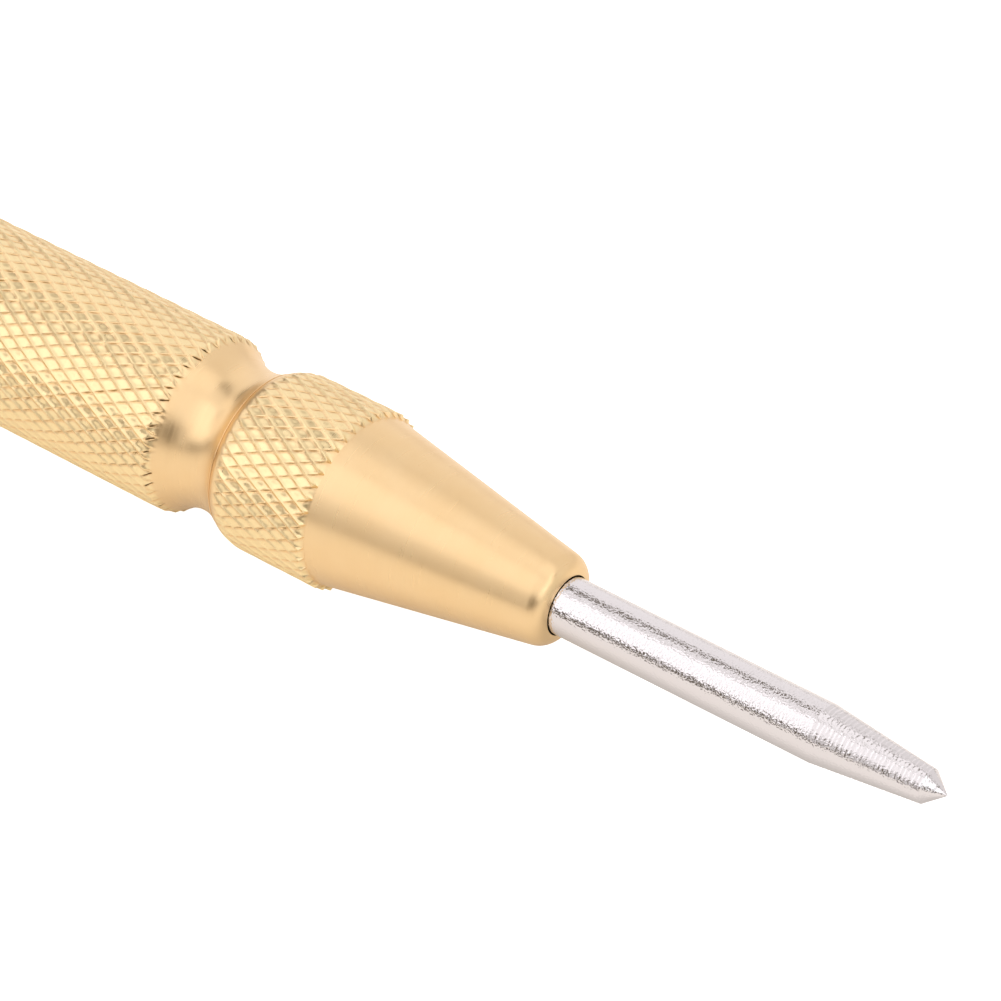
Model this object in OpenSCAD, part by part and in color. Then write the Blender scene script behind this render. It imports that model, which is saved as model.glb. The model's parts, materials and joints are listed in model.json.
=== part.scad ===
// Spring-loaded automatic center punch: a turned brass body that holds a
// hammer mechanism behind a sliding steel point.
// All sizes are in millimetres. The tool lies along X on the plane Z = 0,
// with its tip towards +X. Stations are distances back from the tip at rest.

/* [Overall] */
// Length from the tip to the end of the cap
total_l = 130; // [126:1:140]
// Radius of the knurled barrel and of the cap
barrel_r = 7; // [6.8:0.1:8]

/* [Point] */
// Radius of the point's straight shank
point_r = 2.2; // [2:0.05:2.2]
// Length of the short cone at the very tip
tip_l = 1.57; // [1:0.01:2.2]
// Radius at the back of the tip cone
tip_r = 1.31; // [1:0.01:1.6]
// Station where the long taper meets the straight shank
taper_end = 10; // [8:0.5:14]

/* [Nose cone] */
// Centre of the rounded nose edge, as a station
nose_edge_at = 33.1; // [33.1:0.1:34]
// Radius of the rounded nose edge
nose_edge_r = 1.5; // [1.3:0.1:1.6]
// Distance of the edge's centre from the axis
nose_edge_off = 2.1; // [2:0.05:2.3]
// Station of the back of the cone, at the foot of the ring
cone_back = 50; // [48:0.5:50]
// Radius at the back of the cone
cone_r = 6.53; // [6.3:0.01:6.6]
// Radius of the knurled ring
ring_r = 6.95; // [6.8:0.01:7]
// Length of the chamfer in front of the ring
ring_chamfer = 0.9; // [0.5:0.1:1.2]
// Radius of the ring's rounded back edge
ring_edge_r = 3.2; // [3:0.1:4]

/* [Neck] */
// Station of the joint between the nose cone and the barrel
joint_at = 59; // [58.5:0.1:59.2]
// Station of the bottom of the neck groove
neck_at = 61.4; // [61:0.1:62]
// Radius left at the bottom of the neck groove
neck_r = 5.6; // [5.5:0.05:6]
// Radius of the groove's own curve
groove_r = 4.4; // [4:0.1:5]

/* [Mechanism] */
// Travel of the point into the nose
stroke = 9; // [6:0.5:9]
// Lean of the drift pin when the point is out, in degrees
drift_lean = 1.2; // [0.8:0.1:1.2]
// Radial clearance of the sliding pieces
slide_gap = 0.08; // [0.04:0.01:0.1]
// Length of the hammer
hammer_l = 20; // [16:0.5:20]
// Wire diameter of the main spring
main_wire = 1.2; // [1:0.05:1.2]
// Wire diameter of the return spring
return_wire = 0.5; // [0.4:0.05:0.5]

/* [Cap] */
// Length of the adjusting cap
cap_l = 28.5; // [26:0.5:30]
// Length of bare thread between the barrel and the cap
cap_gap = 3.5; // [3.5:0.1:5]
// Nominal radius of the barrel's rear thread
thread_r = 5.92; // [5.8:0.01:5.95]

/* [Hidden] */

round_fn = 96;
brass = "#d9b25f";
steel = "#c9c6c4";
spring_steel = "#8f9196";

tip_x = total_l / 2;
axis_z = barrel_r;

// Nose cone and point
bore_r = point_r + slide_gap;
cone_slope = atan((cone_r - nose_edge_off - nose_edge_r) / (cone_back - nose_edge_at));
ring_front = cone_back + ring_chamfer;
ring_edge_at = joint_at - 2;
ring_back_r = ring_r - ring_edge_r + sqrt(ring_edge_r * ring_edge_r - 4);
flange_front = 42;
flange_back = 46.95;
chamber_r = 3.6;
flange_r = chamber_r - slide_gap;
tenon_r = 4.5;
tenon_back = 69.4;

// Barrel
socket_r = 4.55;
web_front = 70;
web_back = 74;
guide_front = 71.5;
guide_mouth_r = 2.6;
guide_r = 1.8;
hammer_bore_r = 4.2;
groove_half = sqrt(groove_r * groove_r - pow(groove_r - (barrel_r - neck_r), 2));
knurl_front = neck_at + groove_half;
knurl_back = total_l - cap_l - cap_gap;
thread_back = knurl_back + 19;
edge_break = 0.5;

// Drift pin
head_front = 47;
head_back = 50;
head_r = 3;
head_dome_r = 7.8;
thick_stem_r = guide_r - slide_gap;
thin_stem_r = 1.2;
thick_back = 64;
thin_front = 65.2;
stem_back = 73.85;

// Hammer and springs
hammer_back = web_back + hammer_l;
hammer_r = hammer_bore_r - slide_gap;
hammer_hole_r = thin_stem_r + 0.1;
hammer_hole_l = stroke + 4;
spigot_r = 2.5;
spigot_l = 2;
return_front = head_back + 0.1;
return_turns = 11;
main_turns = 13;

// Cap
cap_front = total_l - cap_l;
cap_bore_r = thread_r + 0.06;
cap_step = thread_back + 4;
cap_floor = total_l - 5;
pocket_r = 4.3;
cap_edge_r = 1.8;

// The children are drawn as [radius, station] and turned about the tool's axis.
module turned() {
    place() rotate_extrude($fn = round_fn) children();
}

// Local Z becomes the station axis, which runs back from the tip.
module place() {
    translate([tip_x, 0, axis_z]) rotate([0, -90, 0]) children();
}

// A bored length: a rectangle from the axis out to radius r.
module bore(from, to, r) {
    translate([0, from]) square([r, to - from]);
}

// A round rod with both of its edges broken by c.
module rod(from, to, r, c) {
    polygon([[0, from], [r - c, from], [r, from + c], [r, to - c], [r - c, to], [0, to]]);
}

// Main casing: neck groove, knurled grip and rear thread outside; thread
// socket, guide web and hammer bore inside.
module barrel() {
    color(brass) turned() difference() {
        polygon([[0, joint_at], [barrel_r, joint_at], [barrel_r, knurl_back - edge_break],
                 [barrel_r - edge_break, knurl_back], [thread_r, knurl_back],
                 [thread_r, thread_back - edge_break], [thread_r - edge_break, thread_back],
                 [0, thread_back]]);
        translate([neck_r + groove_r, neck_at]) circle(r = groove_r, $fn = round_fn);
        translate([neck_r + 0.7, joint_at - 1]) square([barrel_r, neck_at - joint_at]);
        bore(joint_at - 1, web_front, socket_r);
        polygon([[0, web_front - 0.1], [guide_mouth_r, web_front - 0.1],
                 [guide_mouth_r, web_front], [guide_r, guide_front], [0, guide_front]]);
        bore(guide_front - 0.1, web_back + 0.1, guide_r);
        bore(web_back, thread_back + 1, hammer_bore_r);
    }
}

// Front piece: a rounded nose, a cone and a knurled ring, with a threaded
// tenon that screws into the barrel. The step in its bore stops the point.
module nose_cone() {
    tangent_at = nose_edge_at - nose_edge_r * sin(cone_slope);
    tangent_r = nose_edge_off + nose_edge_r * cos(cone_slope);
    color(brass) turned() difference() {
        union() {
            translate([0, nose_edge_at - nose_edge_r])
                square([nose_edge_off, nose_edge_r]);
            translate([nose_edge_off, nose_edge_at]) circle(r = nose_edge_r, $fn = round_fn);
            polygon([[0, tangent_at], [tangent_r, tangent_at], [cone_r, cone_back],
                     [ring_r, ring_front], [ring_r, ring_edge_at], [0, ring_edge_at]]);
            intersection() {
                translate([ring_r - ring_edge_r, ring_edge_at])
                    circle(r = ring_edge_r, $fn = round_fn);
                translate([0, ring_edge_at]) square([ring_r, joint_at - ring_edge_at]);
            }
            translate([0, ring_edge_at]) square([ring_r - ring_edge_r, joint_at - ring_edge_at]);
            rod(joint_at - 1, tenon_back, tenon_r, edge_break);
        }
        bore(nose_edge_at - 2 * nose_edge_r, flange_front + 1, bore_r);
        bore(flange_front, tenon_back + 1, chamber_r);
    }
}

// Steel point: tip cone, long taper, straight shank and a stop flange.
module punch_point() {
    color(steel) turned() polygon([
        [0, 0], [tip_r, tip_l], [point_r, taper_end], [point_r, flange_front],
        [flange_r - 0.3, flange_front], [flange_r, flange_front + 0.3],
        [flange_r, flange_back - 0.3], [flange_r - 0.3, flange_back], [0, flange_back]]);
}

// Drift pin: a domed head, a thick stem that the guide web centres and a thin
// stem that drops into the hammer's hole. It leans while the point is out.
module drift_pin() {
    color(steel) place()
        translate([0, 0, head_front]) rotate([0, drift_lean, 0]) translate([0, 0, -head_front])
            rotate_extrude($fn = round_fn) {
                intersection() {
                    translate([0, head_front + head_dome_r])
                        circle(r = head_dome_r, $fn = round_fn);
                    bore(head_front, head_back, head_r);
                }
                polygon([[0, head_back - 0.1], [thick_stem_r, head_back - 0.1],
                         [thick_stem_r, thick_back], [thin_stem_r, thin_front],
                         [thin_stem_r, stem_back - 0.3], [thin_stem_r - 0.3, stem_back],
                         [0, stem_back]]);
            }
}

// Hammer: a steel cylinder with a hole for the drift pin's thin stem and a
// spigot that centres the main spring.
module hammer() {
    color(steel) turned() difference() {
        union() {
            rod(web_back, hammer_back, hammer_r, 0.4);
            rod(hammer_back - 1, hammer_back + spigot_l, spigot_r, 0.4);
        }
        bore(web_back - 1, web_back + hammer_hole_l, hammer_hole_r);
    }
}

// Height of the wire's centre after t turns. The end turns lie closed, a
// little over a wire apart, and those between share what length is left.
function coil_rise(t, turns, wire, length) =
    let (closed = 1.04 * wire, free = (length - wire - 2 * closed) / (turns - 2))
    t < 1 ? closed * t : t > turns - 1 ? length - wire - closed * (turns - t)
                       : closed + free * (t - 1);

// Round-wire compression spring from one station to another. Its mean radius
// runs evenly from r_front to r_back.
module coil(from, to, r_front, r_back, wire, turns, steps, sides) {
    rings = turns * steps;
    points = [for (i = [0:rings], k = [0:sides - 1])
        let (turn = i / steps, angle = 360 * turn, around = 360 * k / sides,
             r = r_front + (r_back - r_front) * i / rings + wire / 2 * cos(around),
             z = from + wire / 2 * (1 + sin(around)) + coil_rise(turn, turns, wire, to - from))
        [r * cos(angle), r * sin(angle), z]];
    walls = [for (i = [0:rings - 1], k = [0:sides - 1])
        let (a = i * sides + k, b = i * sides + (k + 1) % sides)
        each [[a, b, a + sides], [b, b + sides, a + sides]]];
    ends = [[for (k = [sides - 1:-1:0]) k], [for (k = [0:sides - 1]) rings * sides + k]];
    polyhedron(points, concat(walls, ends));
}

// Light tapered spring round the drift pin. It pushes the point out.
module return_spring() {
    color(spring_steel) place()
        coil(return_front, web_front, 2.6, 3.1, return_wire, return_turns, 18, 6);
}

// Strong spring between the hammer and the cap. It stores the blow.
module main_spring() {
    color(spring_steel) place()
        coil(hammer_back, cap_floor, 3.4, 3.4, main_wire, main_turns, 20, 8);
}

// Knurled cap on the barrel's rear thread. Screwing it in loads the spring.
module adjusting_cap() {
    color(brass) turned() difference() {
        union() {
            polygon([[0, cap_front], [barrel_r - edge_break, cap_front],
                     [barrel_r, cap_front + edge_break], [barrel_r, total_l - cap_edge_r],
                     [0, total_l - cap_edge_r]]);
            translate([barrel_r - cap_edge_r, total_l - cap_edge_r])
                circle(r = cap_edge_r, $fn = round_fn);
            bore(total_l - 2 * cap_edge_r, total_l, barrel_r - cap_edge_r);
        }
        bore(cap_front - 1, cap_step, cap_bore_r);
        bore(cap_step - 1, cap_floor, pocket_r);
    }
}

barrel();
nose_cone();
punch_point();
return_spring();
drift_pin();
hammer();
main_spring();
adjusting_cap();
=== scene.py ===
"""Looks of a spring-loaded center punch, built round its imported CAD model.

The tool lies along X with its tip towards +X, on the plane Z = 0. A station is a distance
back from the tip at rest, so a point is at x = TIP_X - station. Lengths are in metres.
"""

import json
import math

import bpy
import numpy as np
from bpy.props import FloatProperty, FloatVectorProperty, IntProperty, PointerProperty
from mathutils import Matrix, Vector


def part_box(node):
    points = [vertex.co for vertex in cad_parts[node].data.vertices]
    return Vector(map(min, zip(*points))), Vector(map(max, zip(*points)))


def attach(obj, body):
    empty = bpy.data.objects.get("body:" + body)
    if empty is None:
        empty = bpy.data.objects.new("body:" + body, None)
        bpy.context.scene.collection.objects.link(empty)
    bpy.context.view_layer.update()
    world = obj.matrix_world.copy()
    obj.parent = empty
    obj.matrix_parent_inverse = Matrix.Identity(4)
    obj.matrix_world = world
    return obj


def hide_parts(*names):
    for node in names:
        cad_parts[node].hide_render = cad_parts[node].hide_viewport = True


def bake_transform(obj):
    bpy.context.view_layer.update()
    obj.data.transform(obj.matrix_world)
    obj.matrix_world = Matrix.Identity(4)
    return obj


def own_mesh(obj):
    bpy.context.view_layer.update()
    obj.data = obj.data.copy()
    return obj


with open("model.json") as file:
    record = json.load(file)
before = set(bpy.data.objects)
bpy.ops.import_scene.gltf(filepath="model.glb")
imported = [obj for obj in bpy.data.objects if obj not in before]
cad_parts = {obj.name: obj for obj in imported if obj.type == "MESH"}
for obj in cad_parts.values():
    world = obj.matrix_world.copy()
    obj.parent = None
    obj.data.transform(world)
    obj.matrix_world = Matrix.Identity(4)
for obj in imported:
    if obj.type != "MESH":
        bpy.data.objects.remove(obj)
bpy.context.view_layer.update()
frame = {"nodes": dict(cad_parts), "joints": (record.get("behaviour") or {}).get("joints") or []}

bl_info = {
    "name": "Center Punch",
    "version": (1, 0, 0),
    "blender": (4, 5, 0),
    "location": "View3D > Sidebar > Punch",
    "description": "Builds the turned and knurled pieces of a spring-loaded center punch",
    "category": "Add Mesh",
}

MM = 0.001
TURN = 2 * math.pi


def low(node):
    """The lowest corner of a CAD node."""
    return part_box(node)[0]


def high(node):
    """The highest corner of a CAD node."""
    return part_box(node)[1]


# Where things are, from the frame.
TIP_X = high("punch_point").x
AXIS_Z = (low("barrel").z + high("barrel").z) / 2
BARREL_R = high("barrel").y


def front(node):
    """The station of a node's front end."""
    return TIP_X - high(node).x


def back(node):
    """The station of a node's back end."""
    return TIP_X - low(node).x


# ---------------------------------------------------------------- settings


def length(name, description, default, **limits):
    """A property that holds a length, shown to a hundredth of a millimetre."""
    return FloatProperty(
        name=name, description=description, default=default, unit="LENGTH", precision=5, **limits
    )


def colour(name, description, code):
    """A colour property whose default is an sRGB hex value."""
    return FloatVectorProperty(
        name=name, description=description, default=linear(code), subtype="COLOR", size=3,
        min=0.0, max=1.0,
    )


def linear(code):
    """The linear RGB of an sRGB hex value such as "d9b25f"."""
    parts = [int(code[i:i + 2], 16) / 255 for i in (0, 2, 4)]
    return tuple(c / 12.92 if c <= 0.04045 else ((c + 0.055) / 1.055) ** 2.4 for c in parts)


class BodySettings(bpy.types.PropertyGroup):
    """Profile of the brass casing, the nose cone and the cap."""

    cone_r: length("Cone radius", "Radius at the back of the nose cone", 6.53 * MM)
    ring_r: length("Ring radius", "Radius over the knurl of the nose ring", 6.95 * MM)
    ring_front: length("Ring front", "Station of the foot of the ring", 50.0 * MM)
    ring_chamfer: length("Ring chamfer", "Length of the chamfer in front of the ring", 0.35 * MM)
    ring_edge_r: length("Ring edge", "Radius of the ring's rounded back edge", 3.2 * MM)
    nose_edge_r: length("Nose edge", "Radius of the rounded edge of the nose", 1.5 * MM)
    nose_edge_off: length("Nose edge offset", "Distance of that edge's centre from the axis", 2.1 * MM)
    bore_r: length("Nose bore", "Radius of the hole that the point slides in", 2.3 * MM)
    chamber_r: length("Chamber", "Radius of the chamber behind the nose bore", 3.6 * MM)
    chamber_front: length("Chamber front", "Station of the step that stops the point", 42.0 * MM)
    tenon_r: length("Tenon", "Radius of the nose cone's threaded tenon", 4.5 * MM)
    neck_r: length("Neck radius", "Radius left at the bottom of the neck groove", 5.6 * MM)
    neck_at: length("Neck station", "Station of the bottom of the neck groove", 61.4 * MM)
    groove_r: length("Groove radius", "Radius of the neck groove's own curve", 4.4 * MM)
    thread_r: length("Thread radius", "Radius over the crests of the rear thread", 5.92 * MM)
    thread_pitch: length("Thread pitch", "Advance of the cap in one turn", 1.0 * MM)
    knurl_back: length("Knurl back", "Station of the back of the barrel's knurl", 98.0 * MM)
    cap_edge_r: length("Cap edge", "Radius of the rounded edge of the cap's end", 1.8 * MM)


class KnurlSettings(bpy.types.PropertyGroup):
    """A diamond knurl: ridges that wind round one way and cuts that wind round the other."""

    lines: IntProperty(
        name="Lines", description="Grooves of each family round the tool", default=42, min=12,
    )
    lead: length("Lead", "Distance along the tool from one crossing to the next", 2.08 * MM)
    ridge: length("Ridge", "Height of the ridges that wind one way", 0.05 * MM)
    ridge_half: length("Ridge half width", "Half the width of a ridge", 0.11 * MM)
    furrow: length("Furrow", "Depth of the furrow below a ridge", 0.05 * MM)
    furrow_at: length("Furrow offset", "Distance from a ridge to its furrow", 0.21 * MM)
    furrow_half: length("Furrow half width", "Half the width of a furrow", 0.12 * MM)
    cut: length("Cut", "Depth of the cuts that wind the other way", 0.115 * MM)
    steep: length("Steep wall", "Width of a cut's wall that faces down in front", 0.07 * MM)
    gentle: length("Gentle wall", "Width of a cut's wall that faces up in front", 0.2 * MM)
    dish: length("Dish", "Hollow in the middle of each diamond", 0.07 * MM)
    # Painted shade in the furrows, as a share of the painted shade in the cuts.
    groove_shade: FloatProperty(
        name="Furrow stain", description="Stain in the furrows, as a share of that in the cuts",
        default=0.3, min=0, max=1, subtype="FACTOR",
    )
    seed: IntProperty(name="Seed", description="Start of the tool-mark variation", default=7)


class PointSettings(bpy.types.PropertyGroup):
    """Profile and tool marks of the steel point."""

    shank_r: length("Shank", "Radius of the straight shank", 2.2 * MM)
    tip_l: length("Tip length", "Length of the cone at the very tip", 1.57 * MM)
    tip_r: length("Tip radius", "Radius at the back of the tip cone", 1.31 * MM)
    taper_end: length("Taper end", "Station where the taper meets the shank", 10.0 * MM)
    flange_front: length("Flange", "Station of the front of the stop flange", 42.0 * MM)
    flange_r: length("Flange radius", "Radius of the stop flange", 3.52 * MM)
    feed: length("Feed", "Spacing of the turning tool's rings on the taper", 0.34 * MM)
    scallop: length("Scallop", "Depth of those rings", 0.018 * MM)


class SpringSettings(bpy.types.PropertyGroup):
    """The two coil springs inside the barrel."""

    return_wire: length("Return wire", "Wire diameter of the return spring", 0.5 * MM)
    return_front_r: length("Return front", "Mean radius of its front turn", 2.6 * MM)
    return_back_r: length("Return back", "Mean radius of its back turn", 3.1 * MM)
    return_turns: IntProperty(
        name="Return turns", description="Turns of the return spring", default=11,
    )
    main_wire: length("Main wire", "Wire diameter of the main spring", 1.2 * MM)
    main_r: length("Main radius", "Mean radius of the main spring", 3.4 * MM)
    main_turns: IntProperty(name="Main turns", description="Turns of the main spring", default=13)
    front_share: FloatProperty(
        name="Front share", description="Share of the main spring that shortens with the stroke",
        default=0.7, min=0.5, max=0.9, subtype="FACTOR",
    )


class FinishSettings(bpy.types.PropertyGroup):
    """Colours and roughness of the metals."""

    brass: colour("Brass", "Turned brass", "ecce9e")
    # Darker brass: patches of tone at random over the brass, and painted shade in the knurl's grooves,
    # the thread's roots and the nose bore.
    brass_tone_and_shade: colour("Brass recess", "Brass at the bottom of the knurl", "e0b574")
    brass_rough: FloatProperty(
        name="Brass roughness", description="Roughness of the turned brass", default=0.31,
        min=0, max=1, subtype="FACTOR",
    )
    # Paler brass painted on the tops of the knurl's diamonds, as a painted sheen.
    brass_sheen: colour("Worn brass", "Brass on the burnished tops of the knurl", "f1dba9")
    # Dark brown: dirt and painted shade in the bites at the ends of the knurl's grooves, and painted
    # shade at the bottom of the deepest cuts and in the nose bore.
    grime_and_shade: colour("Grime", "Burrs and dirt where a groove ends at an edge", "4a3a24")
    steel: colour("Steel", "Bright nickelled steel of the point", "dbd8d9")
    steel_rough: FloatProperty(
        name="Steel roughness", description="Roughness of the point", default=0.06, min=0, max=1,
        subtype="FACTOR",
    )
    hardened: colour("Hardened steel", "Ground steel of the hammer and the drift pin", "b4b4b8")
    wire: colour("Spring wire", "Drawn spring wire", "a2a3a8")


class StageSettings(bpy.types.PropertyGroup):
    """Camera, floor and lights."""

    azimuth: FloatProperty(
        name="Azimuth", description="Turn of the camera about Z from looking along +Y",
        default=math.radians(37.66), subtype="ANGLE",
    )
    elevation: FloatProperty(
        name="Elevation", description="Angle that the camera looks down at",
        default=math.radians(39.55), subtype="ANGLE",
    )
    lens: FloatProperty(
        name="Lens", description="Focal length on a 36 mm sensor", default=164.75, unit="CAMERA",
    )
    tip_right: length("Tip right", "How far right of the view's centre the tip is", 29.664 * MM)
    tip_below: length("Tip below", "How far below the view's centre the tip is", 19.595 * MM)
    tip_ahead: length("Tip ahead", "How far in front of the camera the tip is", 303.589 * MM)
    panel_tint: colour("Panel tint", "Colour of the panels", "fdfbff")
    panel_far: length("Panel distance", "How far the panels stand from the tool's axis", 600 * MM)
    room: colour("Room", "What shows in reflections between the panels", "7c7267")
    floor_glow: colour("Floor glow", "Light that the floor gives of its own", "a49a8c")
    floor_white: colour("Floor white", "How much light the floor throws back", "dadada")
    shade: FloatProperty(
        name="Shade", description="Share of light left on the floor under the tool", default=0.68,
        min=0, max=1, subtype="FACTOR",
    )
    shade_width: length("Shade width", "How far that shade reaches to each side", 10 * MM)


# ---------------------------------------------------------------- turned surfaces

KNURL_STEPS = 10        # lattice steps between two grooves of a knurl
KNURL_DRAW = 0.45       # how far the lattice is drawn towards the grooves
KNURL_EDGE = 3          # lattice rows at each end where the knurl fades out
TURNED_SHARE = 3        # a smooth turned length has this share of a knurl's columns
INNER_SHARE = 6         # and threads and bores have this share of them
ALL_DARK = 1.8             # a recess value at which brass is all dark brown: painted shade in the nose bore, dirt and painted shade in the knurl's burrs


def rings(stations, radii, columns, recess=0.0):
    """Rings of a turned length, as an array of (angle, radius, station, recess).

    Ring i has radius radii[i] at stations[i], and its points are at even angles.
    """
    stations, radii = np.broadcast_arrays(np.asarray(stations, float), np.asarray(radii, float))
    angle = np.arange(columns) * TURN / columns
    grid = np.zeros((len(stations), columns, 4))
    grid[..., 0] = angle
    grid[..., 1] = radii[:, None]
    grid[..., 2] = stations[:, None]
    grid[..., 3] = recess
    return grid


def pole(station):
    """A single point on the axis, which closes an end."""
    return np.array([[[0.0, 0.0, station, 0.0]]])


def arc(station, radius, size, start, end, steps):
    """Points of a profile's arc about (station, radius): stations and radii.

    The angle runs from start to end in degrees, 0 towards the back and 90 outwards.
    """
    turn = np.radians(np.linspace(start, end, steps + 1))
    return station + size * np.cos(turn), radius + size * np.sin(turn)


def between(a, b):
    """Faces that join ring a to ring b, as rows of vertex numbers.

    Rings with the same number of points are joined by quads. If one has m times as many
    points, each of the other's edges gets one polygon with m of its edges.
    """
    if len(a) == 1 or len(b) == 1:
        ring, turned = (b, False) if len(a) == 1 else (a, True)
        tip = np.full(len(ring), (a if len(a) == 1 else b)[0])
        following = np.roll(ring, -1)
        return np.stack([ring, tip, following] if turned else [tip, ring, following], axis=1)
    if len(a) >= len(b):
        many = len(a) // len(b)
        fine = a.reshape(-1, many)
        end = np.roll(fine[:, 0], -1)
        return np.column_stack([fine[:, 0], b, np.roll(b, -1), end, fine[:, :0:-1]])
    many = len(b) // len(a)
    fine = b.reshape(-1, many)
    return np.column_stack([a, fine, np.roll(fine[:, 0], -1), np.roll(a, -1)])


def knurl_faces(numbers):
    """Triangles of a knurled grid of vertex numbers, split along the grooves.

    On the lattice the two families of grooves are the diagonals i - j and i + j at whole
    multiples of KNURL_STEPS, and each square is cut along the nearer one.
    """
    rows, columns = numbers.shape
    j, i = np.mgrid[0:rows - 1, 0:columns]
    following = np.roll(numbers, -1, axis=1)
    a, b = numbers[:-1], numbers[1:]
    c, d = following[1:], following[:-1]

    def off(line):
        return np.abs((line + KNURL_STEPS // 2) % KNURL_STEPS - KNURL_STEPS // 2)

    main = off(i - j) <= off(i + j + 1)
    first = np.where(main[..., None], np.stack([a, b, c], -1), np.stack([a, b, d], -1))
    second = np.where(main[..., None], np.stack([a, c, d], -1), np.stack([b, c, d], -1))
    return np.concatenate([first.reshape(-1, 3), second.reshape(-1, 3)])


def turned_mesh(name, bands, closed=True, knurled=()):
    """A mesh object from bands of rings, joined in order, the last to the first if closed.

    The profile runs backwards outside and forwards inside, so that faces point outwards.
    knurled holds the places in the list of the bands that are cut along their grooves.
    """
    numbers, start = [], 0
    for band in bands:
        count = band.shape[0] * band.shape[1]
        numbers.append(np.arange(start, start + count).reshape(band.shape[:2]))
        start += count
    faces = []
    for place, grid in enumerate(numbers):
        if place in knurled:
            faces.append(knurl_faces(grid))
        else:
            faces += [between(a, b) for a, b in zip(grid[:-1], grid[1:])]
    faces += [between(a[-1], b[0]) for a, b in zip(numbers[:-1], numbers[1:])]
    if closed:
        faces.append(between(numbers[-1][-1], numbers[0][0]))

    points = np.concatenate([band.reshape(-1, 4) for band in bands])
    angle, radius, station, recess = points.T
    place = np.column_stack([
        TIP_X - station, radius * np.cos(angle), AXIS_Z + radius * np.sin(angle),
    ])
    return mesh_object(name, place, faces, recess)


def mesh_object(name, place, faces, recess, sharp=math.radians(30)):
    """A linked object with these points and groups of faces, and a recess value per point."""
    corners = np.concatenate([group.ravel() for group in faces])
    sizes = np.concatenate([np.full(len(group), group.shape[1]) for group in faces])
    mesh = bpy.data.meshes.new(name)
    mesh.vertices.add(len(place))
    mesh.vertices.foreach_set("co", place.ravel())
    mesh.loops.add(len(corners))
    mesh.loops.foreach_set("vertex_index", corners)
    mesh.polygons.add(len(sizes))
    mesh.polygons.foreach_set("loop_start", np.concatenate([[0], np.cumsum(sizes)[:-1]]))
    mesh.update(calc_edges=True)
    attribute = mesh.attributes.new("recess", "FLOAT", "POINT")
    attribute.data.foreach_set("value", recess.astype(np.float32))
    mesh.shade_smooth()
    mesh.set_sharp_from_angle(angle=sharp)
    if mesh.validate():
        raise RuntimeError(f"{name} has faces that are not valid")
    piece = bpy.data.objects.new(name, mesh)
    bpy.context.scene.collection.objects.link(piece)
    return piece


# ---------------------------------------------------------------- knurl


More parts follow.
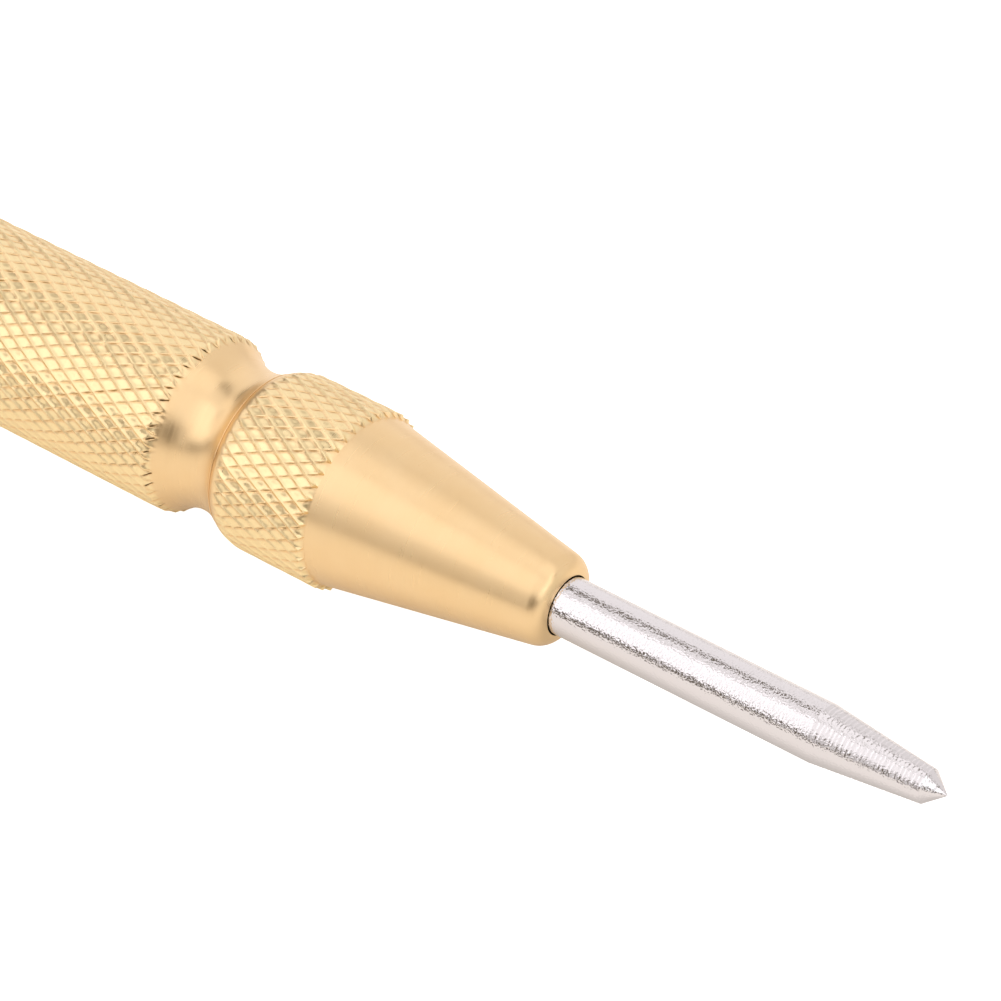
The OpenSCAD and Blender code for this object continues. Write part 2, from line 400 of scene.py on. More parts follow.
def knurled(first, last, radius, settings, strength, seed=0, burrs=()):
    """Rings of a knurled length from one station to another.

    With a = lines * angle / turn and b = (station - first) / lead, the cuts are the lines
    u = a - b and the ridges v = a + b at whole numbers. The points lie on an even lattice in a
    and b, drawn towards those lines by t - c sin(turn t) / turn in both u and v. A ridge is
    round and has a furrow below it, and a cut is a V that stops short of the ridges. Each
    diamond is hollowed by its own amount. radius(station, whole) gives the crest, where whole
    marks the diamonds that lie wholly behind the front edge; strength(station, lot) scales the
    depth, where lot is a line's own random number. burrs are (station, size, odds) of rows of
    small bites at the ends of the lines.
    """
    lines = settings.lines
    rows = round((last - first) / settings.lead * KNURL_STEPS)
    lead = (last - first) / rows * KNURL_STEPS
    j, i = np.mgrid[0:rows + 1, 0:lines * KNURL_STEPS]
    edge = np.clip(np.minimum(j, rows - j) / KNURL_EDGE, 0, 1)
    u, v = (i - j) / KNURL_STEPS, (i + j) / KNURL_STEPS
    u = u - edge * KNURL_DRAW * np.sin(TURN * u) / TURN
    v = v - edge * KNURL_DRAW * np.sin(TURN * v) / TURN
    a, b = (u + v) / 2, (v - u) / 2
    station = first + lead * b
    station[0], station[-1] = first, last

    random = np.random.default_rng(settings.seed + seed)
    across = math.cos(math.atan2(TURN * BARREL_R / lines, lead)) * TURN * BARREL_R / lines
    lots = random.random((2, lines))
    cells = random.random((2 * lines, 2 * rows + 2 * lines))
    in_u, in_v = u - np.floor(u), v - np.floor(v)
    offs, sizes = [], []
    for t, lot in ((u, lots[0]), (v, lots[1])):
        line = np.round(t).astype(int)
        own = lot[line % lines]
        offs.append((t - line) * across)
        sizes.append(strength(station, own) * (0.85 + 0.3 * own))
    wall = np.where(offs[0] < 0, settings.steep, settings.gentle)
    cut = np.clip(1 - np.abs(offs[0]) / wall, 0, 1) * sizes[0] * 4 * in_v * (1 - in_v)
    ridge = np.exp(-(offs[1] / settings.ridge_half) ** 2) * sizes[1]
    beside = np.abs(offs[1] - settings.furrow_at) / settings.furrow_half
    furrow = np.clip(1 - beside, 0, 1) * sizes[1]
    iu, iv = np.floor(u).astype(int), np.floor(v).astype(int)
    own = cells[(iu + iv) % (2 * lines), (iv - iu) % cells.shape[1]]
    middle = 16 * in_u * (1 - in_u) * in_v * (1 - in_v) * np.minimum(*sizes)
    relief = np.maximum(settings.cut * cut, settings.furrow * furrow)
    relief += settings.ridge * (strength(station, 0.5) - ridge)
    relief += middle * settings.dish * (0.4 + 1.2 * own)
    crest = radius(station, iv - iu >= 1)
    grid = np.zeros((rows + 1, lines * KNURL_STEPS, 4))
    grid[..., 0] = a * TURN / lines
    inside = np.clip(edge * KNURL_EDGE, 0, 1)
    grid[..., 1] = crest - relief * inside
    grid[..., 2] = station
    # The recess value paints shade into the grooves, darkest at the bottom of the cuts, and a painted
    # sheen on the tops of the diamonds, where it is below zero.
    groove_shade = np.clip(np.maximum(cut, settings.groove_shade * furrow), 0, 1)
    top_sheen = np.clip(1 - 3 * groove_shade, 0, 1) * strength(station, 0.5)
    grid[..., 3] = (groove_shade - top_sheen) * inside
    for at, size, odds in burrs:
        near = np.minimum(np.abs(u - np.round(u)), np.abs(v - np.round(v))) * across
        own = cells[(np.round(u + v).astype(int)) % (2 * lines), 0] * odds
        past = station - at - size * (own - 0.5)
        bite = np.clip(1 - np.hypot(near, past) / size, 0, 1) * (own < 0.5)
        grid[..., 1] -= bite * size
        # The bites are darkened with the dark brown: dirt in them and painted shade in their pits.
        grid[..., 3] += np.clip(bite * 3, 0, 0.7 + 2 * own)
    return grid


def columns(context, share=1):
    """How many points a ring has: a knurl's number, or a share of it."""
    return context.scene.punch_knurl.lines * KNURL_STEPS // share


# ---------------------------------------------------------------- materials


def add(tree, kind, inputs=(), **settings):
    """Adds a node with its settings, and fills its inputs with values or links."""
    node = tree.nodes.new(kind)
    for name, value in settings.items():
        setattr(node, name, value)
    for socket, value in dict(inputs).items():
        if isinstance(value, bpy.types.NodeSocket):
            tree.links.new(value, node.inputs[socket])
        else:
            node.inputs[socket].default_value = value
    return node


def new_material(name):
    """An empty node material, its tree and its shader."""
    material = bpy.data.materials.new(name)
    material.use_nodes = True
    tree = material.node_tree
    tree.nodes.clear()
    shader = add(tree, "ShaderNodeBsdfPrincipled", {"Metallic": 1.0})
    add(tree, "ShaderNodeOutputMaterial", {"Surface": shader.outputs["BSDF"]})
    return material, tree, shader


def round_the_axis(tree):
    """Object coordinates as (along the tool, out from its axis, round it), in millimetres."""
    place = add(tree, "ShaderNodeTexCoord").outputs["Object"]
    centred = add(tree, "ShaderNodeVectorMath", {0: place, 1: (0, 0, AXIS_Z)}, operation="SUBTRACT")
    scaled = add(
        tree, "ShaderNodeVectorMath", {0: centred.outputs[0], 1: (1 / MM,) * 3}, operation="MULTIPLY"
    )
    axes = add(tree, "ShaderNodeSeparateXYZ", {0: scaled.outputs[0]}).outputs
    flat = add(tree, "ShaderNodeCombineXYZ", {1: axes[1], 2: axes[2]})
    out = add(tree, "ShaderNodeVectorMath", {0: flat.outputs[0]}, operation="LENGTH").outputs["Value"]
    turn = add(tree, "ShaderNodeMath", {0: axes[1], 1: axes[2]}, operation="ARCTAN2").outputs[0]
    return scaled.outputs[0], axes[0], out, turn


def noise(tree, vector, scale, detail=2.0):
    """Noise from 0 to 1 whose features are one over scale in size."""
    return add(
        tree, "ShaderNodeTexNoise", {"Vector": vector, "Scale": scale, "Detail": detail}
    ).outputs["Fac"]


def turning_lines(tree, along, out, turn, spacing, run):
    """Noise drawn out round the axis: lines a set spacing apart, broken every few turns."""
    steps = add(tree, "ShaderNodeMath", {0: along, 1: 1 / spacing}, operation="MULTIPLY").outputs[0]
    away = add(tree, "ShaderNodeMath", {0: out, 1: 1 / spacing}, operation="MULTIPLY").outputs[0]
    round_it = add(tree, "ShaderNodeMath", {0: turn, 1: run}, operation="MULTIPLY").outputs[0]
    vector = add(tree, "ShaderNodeCombineXYZ", {0: steps, 1: away, 2: round_it}).outputs[0]
    return noise(tree, vector, 1.0, 3.0)


def remap(tree, value, low_out, high_out, low_in=0.0, high_in=1.0):
    """Value taken from one range to another, and kept inside it."""
    return add(tree, "ShaderNodeMapRange", {
        "Value": value, "From Min": low_in, "From Max": high_in,
        "To Min": low_out, "To Max": high_out,
    }).outputs["Result"]


def mix(tree, share, a, b):
    """Colour a turned into colour b by share."""
    node = add(tree, "ShaderNodeMix", data_type="RGBA")
    tree.links.new(share, node.inputs[0])
    for socket, value in ((6, a), (7, b)):
        if isinstance(value, bpy.types.NodeSocket):
            tree.links.new(value, node.inputs[socket])
        else:
            node.inputs[socket].default_value = (*value, 1)
    return node.outputs[2]


def bump(tree, height, distance, normal=None):
    """Normal bent by a height from 0 to 1 that stands for this distance in metres."""
    inputs = {"Height": height, "Distance": distance, "Strength": 1.0}
    if normal is not None:
        inputs["Normal"] = normal
    return add(tree, "ShaderNodeBump", inputs).outputs["Normal"]


BRASS_LINE = 0.0045 * MM        # depths of the marks that the finishes bend the light with
BRASS_GRAIN = 0.014 * MM
STEEL_GRAIN = 0.03 * MM
STEEL_LINE = 0.0015 * MM
GROUND_LINE = 0.001 * MM
WIRE_MOTTLE = 0.003 * MM


def turned_brass(finish):
    """Free-cutting brass, turned and lightly polished: satin, with fine lines round it."""
    material, tree, shader = new_material("turned_brass")
    place, along, out, turn = round_the_axis(tree)
    lines = turning_lines(tree, along, out, turn, 0.12, 1.2)
    recess = add(tree, "ShaderNodeAttribute", attribute_name="recess").outputs["Fac"]
    cloud = noise(tree, place, 0.35)
    patch = remap(tree, cloud, 0.0, 0.12, 0.35, 0.7)
    tint = mix(tree, patch, tuple(finish.brass), tuple(finish.brass_tone_and_shade))
    # Paler brass where recess is below zero is a painted sheen; above zero, the darker brass and then
    # the dark brown are painted shade, and dirt as well in the bites at the knurl's ends.
    base = mix(tree, remap(tree, recess, 1.0, 0.0, -1.0, 0.0), tint, tuple(finish.brass_sheen))
    base = mix(tree, remap(tree, recess, 0.0, 0.5), base, tuple(finish.brass_tone_and_shade))
    base = mix(tree, remap(tree, recess, 0.0, 0.65, 0.7, 1.0), base, tuple(finish.grime_and_shade))
    base = mix(tree, remap(tree, recess, 0.0, 1.0, 1.1, ALL_DARK), base, tuple(finish.grime_and_shade))
    grain = noise(tree, place, 7.0)
    pressed = remap(tree, recess, 0.1, 1.0, 0.0, 0.3)
    grain = add(tree, "ShaderNodeMath", {0: grain, 1: pressed}, operation="MULTIPLY").outputs[0]
    normal = bump(tree, lines, BRASS_LINE)
    normal = bump(tree, grain, BRASS_GRAIN, normal)
    rough = remap(tree, lines, finish.brass_rough - 0.04, finish.brass_rough + 0.06, 0.3, 0.7)
    tree.links.new(base, shader.inputs["Base Color"])
    tree.links.new(rough, shader.inputs["Roughness"])
    tree.links.new(normal, shader.inputs["Normal"])
    return material


def point_steel(finish):
    """Nickelled steel rod: bright, with a fine grain that breaks up the edges of highlights."""
    material, tree, shader = new_material("point_steel")
    place, along, out, turn = round_the_axis(tree)
    grain = noise(tree, place, 6.0, 1.0)
    lines = turning_lines(tree, along, out, turn, 0.15, 3.0)
    normal = bump(tree, grain, STEEL_GRAIN)
    normal = bump(tree, lines, STEEL_LINE, normal)
    rough = remap(tree, grain, finish.steel_rough - 0.02, finish.steel_rough + 0.04, 0.3, 0.7)
    shader.inputs["Base Color"].default_value = (*finish.steel, 1)
    tree.links.new(rough, shader.inputs["Roughness"])
    tree.links.new(normal, shader.inputs["Normal"])
    return material


def ground_steel(finish):
    """Hardened steel, ground all over: grey, with very fine lines round it."""
    material, tree, shader = new_material("ground_steel")
    along, out, turn = round_the_axis(tree)[1:]
    lines = turning_lines(tree, along, out, turn, 0.08, 2.0)
    normal = bump(tree, lines, GROUND_LINE)
    shader.inputs["Base Color"].default_value = (*finish.hardened, 1)
    tree.links.new(remap(tree, lines, 0.22, 0.34, 0.3, 0.7), shader.inputs["Roughness"])
    tree.links.new(normal, shader.inputs["Normal"])
    return material


def spring_wire(finish):
    """Drawn music wire with a thin oil film: dark grey, smooth, faintly mottled."""
    material, tree, shader = new_material("spring_wire")
    place = round_the_axis(tree)[0]
    mottle = noise(tree, place, 2.5, 3.0)
    shader.inputs["Base Color"].default_value = (*finish.wire, 1)
    tree.links.new(remap(tree, mottle, 0.25, 0.4, 0.3, 0.7), shader.inputs["Roughness"])
    tree.links.new(bump(tree, mottle, WIRE_MOTTLE), shader.inputs["Normal"])
    return material


MATERIALS = {
    "turned_brass": turned_brass,
    "point_steel": point_steel,
    "hardened_steel": ground_steel,
    "spring_wire": spring_wire,
}
made = {}


def finish_of(slot, context):
    """The material of a record slot, made once."""
    if slot not in made:
        made[slot] = MATERIALS[slot](context.scene.punch_finish)
    return made[slot]


def dress(piece, slot, body, context, *nodes):
    """Gives a new piece its finish and body, and lets it stand for its CAD nodes."""
    piece.data.materials.append(finish_of(slot, context))
    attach(piece, body)
    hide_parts(*nodes)


# ---------------------------------------------------------------- pieces


class PunchNose(bpy.types.Operator):
    """Builds the nose cone: rounded nose, satin cone, knurled ring and tenon"""

    bl_idname = "punch.nose_cone"
    bl_label = "Nose cone"

    def execute(self, context):
        body = context.scene.punch_body
        smooth, inner = columns(context, TURNED_SHARE), columns(context, INNER_SHARE)
        nose_at = front("nose_cone") + body.nose_edge_r
        slope = math.atan2(
            body.cone_r - body.nose_edge_off - body.nose_edge_r, body.ring_front - nose_at
        )
        lip = math.degrees(math.acos((body.bore_r - body.nose_edge_off) / body.nose_edge_r))
        edge = arc(
            nose_at, body.nose_edge_off, body.nose_edge_r, 90 + lip, 90 + math.degrees(slope), 14
        )
        cone = np.linspace(edge[0][-1], body.ring_front, 40)[1:]
        cone_r = np.interp(cone, [edge[0][-1], body.ring_front], [edge[1][-1], body.cone_r])
        joint_at = front("barrel")
        round_l, foot_l = 2 * MM, 0.15 * MM
        arc_at = joint_at - round_l

        def ring_radius(station, whole):
            chamfer = (station - body.ring_front) / body.ring_chamfer
            steep = (station - body.ring_front) / foot_l
            rise = np.clip(np.where(whole, steep, chamfer), 0, 1)
            past = np.clip(station - arc_at, 0, None)
            drop = body.ring_edge_r - np.sqrt(body.ring_edge_r ** 2 - past ** 2)
            return body.cone_r + (body.ring_r - body.cone_r) * rise - drop

        def ring_strength(station, lot):
            fade = (joint_at - 0.65 * MM + 0.2 * MM * lot - station) / (0.6 * MM)
            return np.clip(fade, 0, 1)

        knurl = knurled(
            body.ring_front, joint_at, ring_radius, context.scene.punch_knurl, ring_strength
        )
        tenon_back = back("nose_cone")
        break_ = 0.5 * MM
        tenon = [joint_at, joint_at + 0.1 * MM, tenon_back - break_, tenon_back]
        tenon_r = [body.tenon_r, body.tenon_r, body.tenon_r, body.tenon_r - break_]
        lip_at = edge[0][0] + 0.6 * MM
        bands = [
            rings(*edge, smooth),
            rings(cone, cone_r, smooth),
            knurl,
            rings(tenon, tenon_r, inner),
            rings([tenon_back, body.chamber_front], [body.chamber_r] * 2, inner),
            # Painted shade: the bore is all dark brown, fading to plain brass at the mouth of the
            # nose.
            rings([body.chamber_front, lip_at], [body.bore_r] * 2, inner, ALL_DARK),
            rings([edge[0][0] + 0.06 * MM], [body.bore_r], smooth, ALL_DARK),
        ]
        piece = turned_mesh("nose_cone_turned", bands, knurled=(2,))
        dress(piece, "turned_brass", "casing", context, "nose_cone")
        return {"FINISHED"}


class PunchBarrel(bpy.types.Operator):
    """Builds the barrel: neck groove, knurled grip, rear thread and bores"""

    bl_idname = "punch.barrel"
    bl_label = "Barrel"

    def execute(self, context):
        body = context.scene.punch_body
        smooth, inner = columns(context, TURNED_SHARE), columns(context, INNER_SHARE)
        face_at, end_at = front("barrel"), back("barrel")
        deep = body.groove_r - (BARREL_R - body.neck_r)
        half = math.sqrt(body.groove_r ** 2 - deep ** 2)
        edge_at = body.neck_at + half
        shoulder, chamfer = 0.7 * MM, 0.5 * MM
        groove_out = body.neck_r + body.groove_r
        first = edge_at - shoulder

        def groove_radius(station):
            rest = np.clip(body.groove_r ** 2 - (station - body.neck_at) ** 2, 0, None)
            return np.where(station < edge_at, groove_out - np.sqrt(rest), BARREL_R)

        def barrel_radius(station, whole):
            rear = np.clip(body.knurl_back - station, 0, chamfer)
            return np.minimum(groove_radius(station), BARREL_R - chamfer + rear)

        def barrel_strength(station, lot):
            reach = (station - first - 0.45 * MM * lot) / (0.25 * MM)
            return np.clip(reach, 0, 1) * np.clip((body.knurl_back - station) / (0.2 * MM), 0, 1)

        neck = np.linspace(face_at + 0.04 * MM, first, 24)
        bore, stem_bore, web_bore, socket = 4.2 * MM, 1.8 * MM, 2.6 * MM, 4.55 * MM
        web_back, web_step, web_front = 74 * MM, 71.5 * MM, 70 * MM
        burrs = (
            (edge_at + 0.05 * MM, 0.13 * MM, 0.8),
            (edge_at - 0.3 * MM, 0.1 * MM, 1.3),
        )
        bands = [
            rings([face_at], [groove_radius(np.array(face_at)) - 0.03 * MM], smooth),
            rings(neck[:-1], groove_radius(neck[:-1]), smooth),
            knurled(first, body.knurl_back, barrel_radius, context.scene.punch_knurl,
                    barrel_strength, seed=1, burrs=burrs),
            thread(body.knurl_back, end_at, body.thread_r, body.thread_pitch, 0.54 * MM, inner),
            rings([end_at, end_at - 0.01 * MM, web_back], [bore] * 3, inner),
            rings(
                [web_back, web_step, web_front, web_front],
                [stem_bore, stem_bore, web_bore, socket], inner,
            ),
            rings([face_at], [socket], inner),
        ]
        piece = turned_mesh("barrel_knurled", bands, knurled=(2,))
        dress(piece, "turned_brass", "casing", context, "barrel")
        return {"FINISHED"}


def thread(first, last, crest, pitch, depth, count):
    """Rings of a right-hand thread. The phase is station / pitch + angle / turn.

    The thread has flat crests and roots and 60 degree flanks, and runs out at both ends.
    """
    per_turn, flank, run_out, chamfer = 10, 2.2, 0.8, 0.4 * MM
    rows = round((last - first) / pitch * per_turn)
    station, angle = np.meshgrid(
        np.linspace(first, last, rows + 1), np.arange(count) * TURN / count, indexing="ij"
    )
    phase = (station / pitch + angle / TURN) % 1
    wave = np.clip(flank * (np.abs(phase - 0.5) * 2 - 0.5) + 0.5, 0, 1)
    fade = np.clip(np.minimum(station - first, last - station) / (run_out * pitch), 0, 1)
    grid = np.zeros((rows + 1, count, 4))
    grid[..., 0] = angle
    grid[..., 1] = crest - depth * (wave * fade)
    grid[..., 1] -= chamfer * np.clip(1 - (last - station) / chamfer, 0, 1)
    grid[..., 2] = station
    # The thread's roots get a recess value, which paints shade into them.
    grid[..., 3] = wave * fade * 0.7
    return grid


class PunchPoint(bpy.types.Operator):
    """Builds the steel point: tip cone, ringed taper, shank and stop flange"""

    bl_idname = "punch.point"
    bl_label = "Point"

    def execute(self, context):
        point = context.scene.punch_point
        count = 96
        back_at = back("punch_point")
        cone = np.linspace(0.02 * MM, point.tip_l, 6)
        cone_r = cone * point.tip_r / point.tip_l
        taper, taper_r = self.taper(point)
        shank = np.linspace(point.taper_end + 0.05 * MM, point.flange_front, 33)
        c = 0.3 * MM
        flange = np.array([point.flange_front, point.flange_front + c, back_at - c, back_at])
        flange_r = np.array([point.flange_r - c, point.flange_r, point.flange_r, point.flange_r - c])
        bands = [
            pole(0.0),
            rings(cone, cone_r, count),
            rings(taper, taper_r, count),
            rings(shank, point.shank_r, count),
            rings(flange, flange_r, count),
            pole(back_at),
        ]
        piece = turned_mesh("punch_point_turned", bands, closed=False)
        dress(piece, "point_steel", "point", context, "punch_point")
        return {"FINISHED"}

    def taper(self, point):
        """Stations and radii of the taper, hollowed between the tool's uneven rings."""
        random = np.random.default_rng(3)
        turns, steps_each = round((point.taper_end - point.tip_l) / point.feed), 6
        steps = random.uniform(0.75, 1.25, turns)
        crests = np.concatenate([[0], np.cumsum(steps)]) / steps.sum()
        share = np.linspace(0, 1, turns * steps_each + 1)[1:]
        spot = np.interp(share, np.linspace(0, 1, turns + 1), crests)
        station = point.tip_l + spot * (point.taper_end - point.tip_l)
        depth = np.repeat(random.uniform(0.5, 1.2, turns), steps_each) * point.scallop
        phase = np.arange(1, turns * steps_each + 1) % steps_each / steps_each
        radius = point.tip_r + spot * (point.shank_r - point.tip_r)
        return station, radius - depth * np.sin(math.pi * phase)


class PunchCap(bpy.types.Operator):
    """Builds the adjusting cap: knurled outside, rounded end, bored inside"""

    bl_idname = "punch.cap"
    bl_label = "Adjusting cap"

    def execute(self, context):
        body = context.scene.punch_body
        smooth, inner = columns(context, TURNED_SHARE), columns(context, INNER_SHARE)
        front_at, end_at = front("adjusting_cap"), back("adjusting_cap")
        chamfer = 0.5 * MM
        knurl_end = end_at - 3 * MM

        def cap_radius(station, whole):
            return BARREL_R - chamfer + np.clip(station - front_at, 0, chamfer)

        def cap_strength(station, lot):
            start = np.clip((station - front_at - 0.2 * MM) / (0.3 * MM), 0, 1)
            return start * np.clip((knurl_end - 0.3 * MM * lot - station) / (0.3 * MM), 0, 1)

        edge = arc(end_at - body.cap_edge_r, BARREL_R - body.cap_edge_r, body.cap_edge_r, 90, 0, 12)
        bore, pocket, flat = body.thread_r + 0.06 * MM, 4.3 * MM, 2.5 * MM
        floor = end_at - 5 * MM
        step = back("barrel") + 4 * MM
        bands = [
            pole(floor),
            rings([floor, step], [pocket] * 2, inner),
            rings([step, front_at], [bore] * 2, inner),
            knurled(
                front_at, knurl_end, cap_radius, context.scene.punch_knurl, cap_strength, seed=2
            ),
            rings(*edge, smooth),
            rings([end_at], [flat], smooth),
            pole(end_at),
        ]
        piece = turned_mesh("adjusting_cap_knurled", bands, closed=False, knurled=(3,))
        dress(piece, "turned_brass", "cap", context, "adjusting_cap")
        return {"FINISHED"}


def coil(name, first, last, front_r, back_r, wire, turns, part=(0.0, 1.0), sides=14, steps=48):
    """A round-wire compression spring between two stations, or a part of its length.

    The wire's centre is at the mean radius, which runs evenly from front to back. Its rise is
    a little over a wire in each closed end turn, and even between them. A ring of points
    stands across the wire, in the plane of the radius and the axis, at each step.
    """
    closed = 1.04 * wire
    free = (last - first - wire - 2 * closed) / (turns - 2)
    knots = [0, 1, turns - 1, turns]
    rises = [0, closed, closed + free * (turns - 2), last - first - wire]
    t = np.linspace(part[0] * turns, part[1] * turns, int((part[1] - part[0]) * turns * steps) + 1)
    rise = np.interp(t, knots, rises)
    around = np.arange(sides) * TURN / sides
    middle = (front_r + (back_r - front_r) * t / turns)[:, None]
    radius = middle + wire / 2 * np.cos(around)
    station = first + (wire / 2 + rise)[:, None] + wire / 2 * np.sin(around)
    angle = np.broadcast_to((t * TURN)[:, None], radius.shape)
    place = np.stack([
        TIP_X - station, radius * np.cos(angle), AXIS_Z + radius * np.sin(angle),
    ], axis=-1)
    numbers = np.arange(radius.size).reshape(radius.shape)
    following = np.roll(numbers, -1, axis=1)
    walls = np.stack([numbers[:-1], following[:-1], following[1:], numbers[1:]], -1).reshape(-1, 4)
    ends = [numbers[:1, ::-1], numbers[-1:]]
    return mesh_object(name, place.reshape(-1, 3), [walls, *ends], np.zeros(radius.size))


class PunchSprings(bpy.types.Operator):
    """Builds the return spring and the main spring"""

    bl_idname = "punch.springs"
    bl_label = "Springs"

    def execute(self, context):
        springs = context.scene.punch_springs
        first, last = front("return_spring"), back("return_spring")
        stroke = self.travel("point_slide")
        spring = coil(
            "return_spring_coil", first, last, springs.return_front_r, springs.return_back_r,
            springs.return_wire, springs.return_turns,
        )
        dress(spring, "spring_wire", "casing", context, "return_spring")
        self.shorten(spring, "point_slide", last, 1 - stroke / (last - first))

        self.main_spring(springs, context)
        return {"FINISHED"}

    def main_spring(self, springs, context):
        """The main spring in two lengths, because it is worked from both of its ends.
        """
        first, last = front("main_spring"), back("main_spring")
        lengths = {"front": (0.0, springs.front_share), "back": (springs.front_share, 1.0)}
        ahead, behind = (
            coil(f"main_spring_{name}", first, last, springs.main_r, springs.main_r,
                 springs.main_wire, springs.main_turns, part)
            for name, part in lengths.items()
        )
        meet = max(point.co.x for point in behind.data.vertices) - springs.main_wire / 2
        dress(ahead, "spring_wire", "casing", context, "main_spring")
        stroke = self.travel("hammer_slide")
        self.shorten(ahead, "hammer_slide", TIP_X - meet, 1 - stroke / (TIP_X - meet - first))
        behind.data.materials.append(finish_of("spring_wire", context))
        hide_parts("main_spring")
        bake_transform(behind)

    def travel(self, joint):
        """How far a sliding joint moves from rest."""
        return next(j for j in frame["joints"] if j["name"] == joint)["range_m"][1]

    def shorten(self, spring, joint, fixed, keep):
        """Gives a spring its own copy of its mesh."""
        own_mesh(spring)


class PunchMechanism(bpy.types.Operator):
    """Gives the drift pin and the hammer, which keep their CAD shape, a ground finish"""

    bl_idname = "punch.mechanism"
    bl_label = "Drift pin and hammer"

    def execute(self, context):
        for node in ("drift_pin", "hammer"):
            mesh = frame["nodes"][node].data
            for place in range(len(mesh.materials)):
                mesh.materials[place] = finish_of("hardened_steel", context)
            if not mesh.materials:
                mesh.materials.append(finish_of("hardened_steel", context))
        return {"FINISHED"}


# ---------------------------------------------------------------- stage


# Soft panels round the tool. The angles go up from -Y round X, in degrees, the reach is along
# X in distances of the panels, and the last value is the radiance.
PANELS = {
    "softbox_end": ((17, 80), (-1.25, -0.3), 1.36),
    "softbox": ((32, 80), (-0.3, 0.0), 1.14),
    "front_card": ((32, 80), (0.0, 1.05), 1.05),
    "skirt": ((4, 32), (-0.3, 0.1), 0.66),
    "top_panel": ((82, 119), (-0.27, 1.05), 1.12),
    "top_edge": ((82, 104), (-1.4, -0.27), 0.94),
    "tip_panel": ((25, 110), (1.05, 2.2), 1.2),
    "back_card": ((122, 178), (-0.27, 1.6), 0.8),
    "back_end": ((118, 178), (-1.4, -0.27), 0.95),
    "rear_panel": ((20, 120), (-4.0, -1.4), 1.1),
}


def panel(name, angles, reach, radiance, tint, far, context):
    """A flat area light that fills a range of angles round the tool's axis, facing it.

    Its power is its radiance times pi times its area.
    """
    first, last = (math.radians(angle) for angle in angles)
    middle = (first + last) / 2
    light = bpy.data.lights.new(name, "AREA")
    light.shape = "RECTANGLE"
    light.size = (reach[1] - reach[0]) * far
    light.size_y = 2 * far * math.tan((last - first) / 2)
    light.energy = radiance * math.pi * light.size * light.size_y
    light.color = tint
    lamp = bpy.data.objects.new(name, light)
    context.scene.collection.objects.link(lamp)
    away = Vector((0, -math.cos(middle), math.sin(middle)))
    along = Vector((1, 0, 0))
    turned = Matrix((along, away.cross(along), away)).transposed().to_4x4()
    place = away * far + along * (reach[0] + reach[1]) / 2 * far + Vector((0, 0, AXIS_Z))
    lamp.matrix_world = Matrix.Translation(place) @ turned
    lamp.visible_camera = False


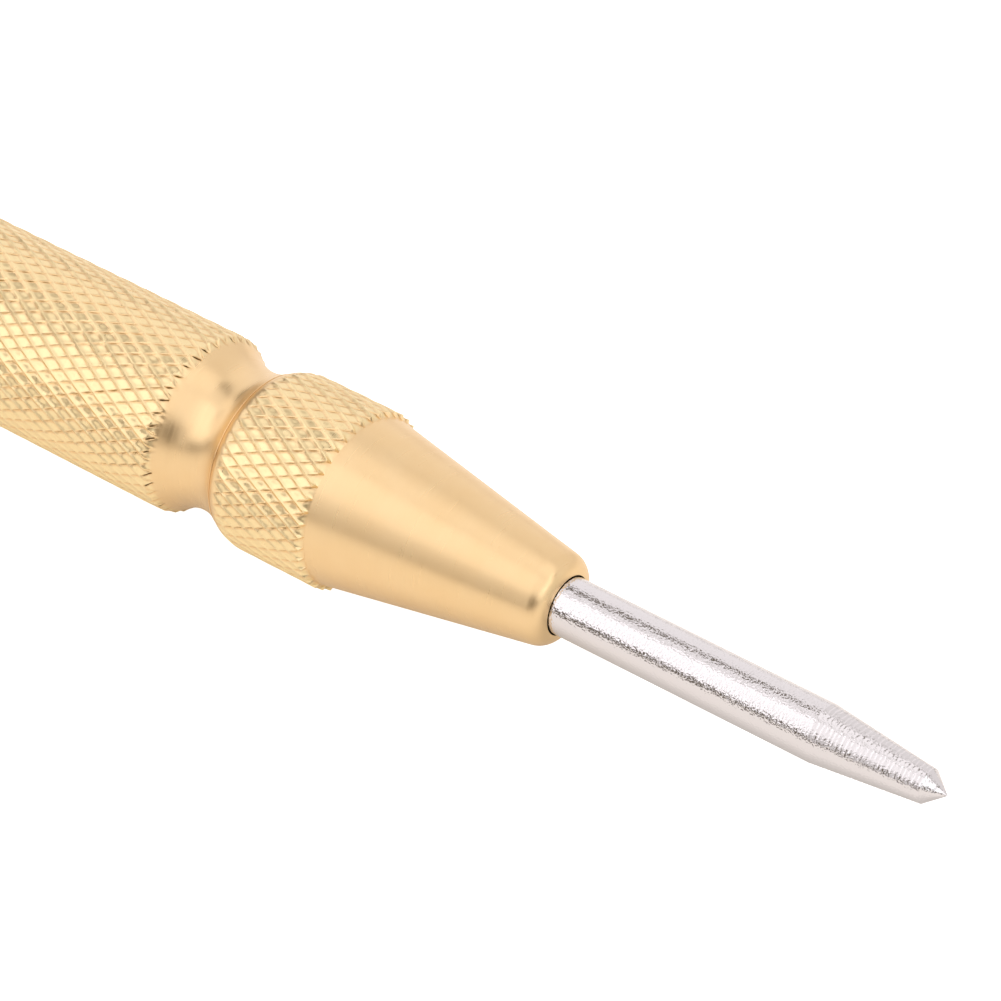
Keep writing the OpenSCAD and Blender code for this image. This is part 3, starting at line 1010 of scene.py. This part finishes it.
class PunchStage(bpy.types.Operator):
    """Sets the floor, the ten panels of light, the room and the camera"""

    bl_idname = "punch.stage"
    bl_label = "Stage"

    def execute(self, context):
        stage = context.scene.punch_stage
        self.floor(context, stage)
        for name, (angles, reach, radiance) in PANELS.items():
            panel(name, angles, reach, radiance, stage.panel_tint, stage.panel_far, context)
        self.room(context, stage)
        self.camera(context, stage)
        context.scene.view_settings.view_transform = "Standard"
        return {"FINISHED"}

    def floor(self, context, stage):
        """A sheet on Z = 0: white to look at, and a little warm and dimmer in reflections."""
        half = 3.0
        black, white = (0.0, 0.0, 0.0), (1.0, 1.0, 1.0)
        mesh = bpy.data.meshes.new("floor")
        mesh.from_pydata(
            [(-half, -half, 0), (half, -half, 0), (half, half, 0), (-half, half, 0)], [],
            [(0, 1, 2, 3)],
        )
        material, tree, shader = new_material("white_sheet")
        shader.inputs["Metallic"].default_value = 0.0
        shader.inputs["Roughness"].default_value = 1.0
        shader.inputs["Specular IOR Level"].default_value = 0.0
        place = add(tree, "ShaderNodeTexCoord").outputs["Object"]
        place = add(tree, "ShaderNodeVectorMath", {0: place}, operation="ABSOLUTE").outputs[0]
        axes = add(tree, "ShaderNodeSeparateXYZ", {0: place}).outputs
        past = add(tree, "ShaderNodeMath", {0: axes[0], 1: TIP_X}, operation="SUBTRACT").outputs[0]
        beside = add(tree, "ShaderNodeMath", {0: axes[1], 1: past}, operation="MAXIMUM").outputs[0]
        lit = remap(tree, beside, stage.shade, 1.0, 0.0, stage.shade_width)
        path = add(tree, "ShaderNodeLightPath").outputs["Is Camera Ray"]
        base = mix(tree, lit, black, tuple(stage.floor_white))
        glow = mix(tree, lit, black, tuple(stage.floor_glow))
        glow = mix(tree, path, glow, white)
        tree.links.new(base, shader.inputs["Base Color"])
        tree.links.new(glow, shader.inputs["Emission Color"])
        shader.inputs["Emission Strength"].default_value = 1.0
        mesh.materials.append(material)
        sheet = bpy.data.objects.new("floor", mesh)
        context.scene.collection.objects.link(sheet)

    def room(self, context, stage):
        """Plain room light: dim in reflections, and white where the camera sees past the floor."""
        world = bpy.data.worlds.new("room")
        context.scene.world = world
        world.use_nodes = True
        tree = world.node_tree
        tree.nodes.clear()
        path = add(tree, "ShaderNodeLightPath").outputs["Is Camera Ray"]
        way = add(tree, "ShaderNodeTexCoord").outputs["Generated"]
        along = add(tree, "ShaderNodeSeparateXYZ", {0: way}).outputs["X"]
        level = mix(tree, remap(tree, along, 0.0, 0.9, 0.75, 0.9), tuple(stage.room), (1.0, 1.0, 1.0))
        level = mix(tree, path, level, (1.0, 1.0, 1.0))
        light = add(tree, "ShaderNodeBackground", {"Color": level})
        add(tree, "ShaderNodeOutputWorld", {"Surface": light.outputs[0]})

    def camera(self, context, stage):
        """A long lens that looks down at the tool from the side of its tip."""
        turn, tilt = stage.azimuth, stage.elevation
        right = Vector((math.cos(turn), math.sin(turn), 0))
        level = Vector((-math.sin(turn), math.cos(turn), 0))
        ahead = math.cos(tilt) * level - Vector((0, 0, math.sin(tilt)))
        up = right.cross(ahead)
        tip = Vector((TIP_X, 0, AXIS_Z))
        place = tip - stage.tip_right * right + stage.tip_below * up - stage.tip_ahead * ahead
        data = bpy.data.cameras.new("camera")
        data.sensor_width = 36.0
        data.lens = stage.lens
        data.clip_start = 0.01
        data.clip_end = 20.0
        eye = bpy.data.objects.new("camera", data)
        context.scene.collection.objects.link(eye)
        turned = Matrix((right, up, -ahead)).transposed().to_4x4()
        eye.matrix_world = Matrix.Translation(place) @ turned
        context.scene.camera = eye


# ---------------------------------------------------------------- add-on


class PunchPanel(bpy.types.Panel):
    """Sizes, finishes and build buttons of the center punch"""

    bl_idname = "PUNCH_PT_build"
    bl_label = "Center Punch"
    bl_space_type = "VIEW_3D"
    bl_region_type = "UI"
    bl_category = "Punch"

    def draw(self, context):
        for operator in OPERATORS:
            self.layout.operator(operator.bl_idname)
        for name in SETTINGS:
            box = self.layout.box()
            group = getattr(context.scene, name)
            for prop in group.__annotations__:
                box.prop(group, prop)


SETTINGS = {
    "punch_body": BodySettings,
    "punch_knurl": KnurlSettings,
    "punch_point": PointSettings,
    "punch_springs": SpringSettings,
    "punch_finish": FinishSettings,
    "punch_stage": StageSettings,
}
OPERATORS = (
    PunchStage, PunchNose, PunchBarrel, PunchPoint, PunchCap, PunchSprings, PunchMechanism,
)


def register():
    """Registers the settings, the operators and the panel."""
    for cls in (*SETTINGS.values(), *OPERATORS, PunchPanel):
        bpy.utils.register_class(cls)
    for name, cls in SETTINGS.items():
        setattr(bpy.types.Scene, name, PointerProperty(type=cls))


def unregister():
    """Takes away what register added."""
    for name in SETTINGS:
        delattr(bpy.types.Scene, name)
    for cls in (PunchPanel, *reversed(OPERATORS), *reversed(SETTINGS.values())):
        bpy.utils.unregister_class(cls)


def main():
    register()
    for operator in OPERATORS:
        group, name = operator.bl_idname.split(".")
        getattr(getattr(bpy.ops, group), name)()
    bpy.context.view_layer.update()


if __name__ == "__main__":
    main()
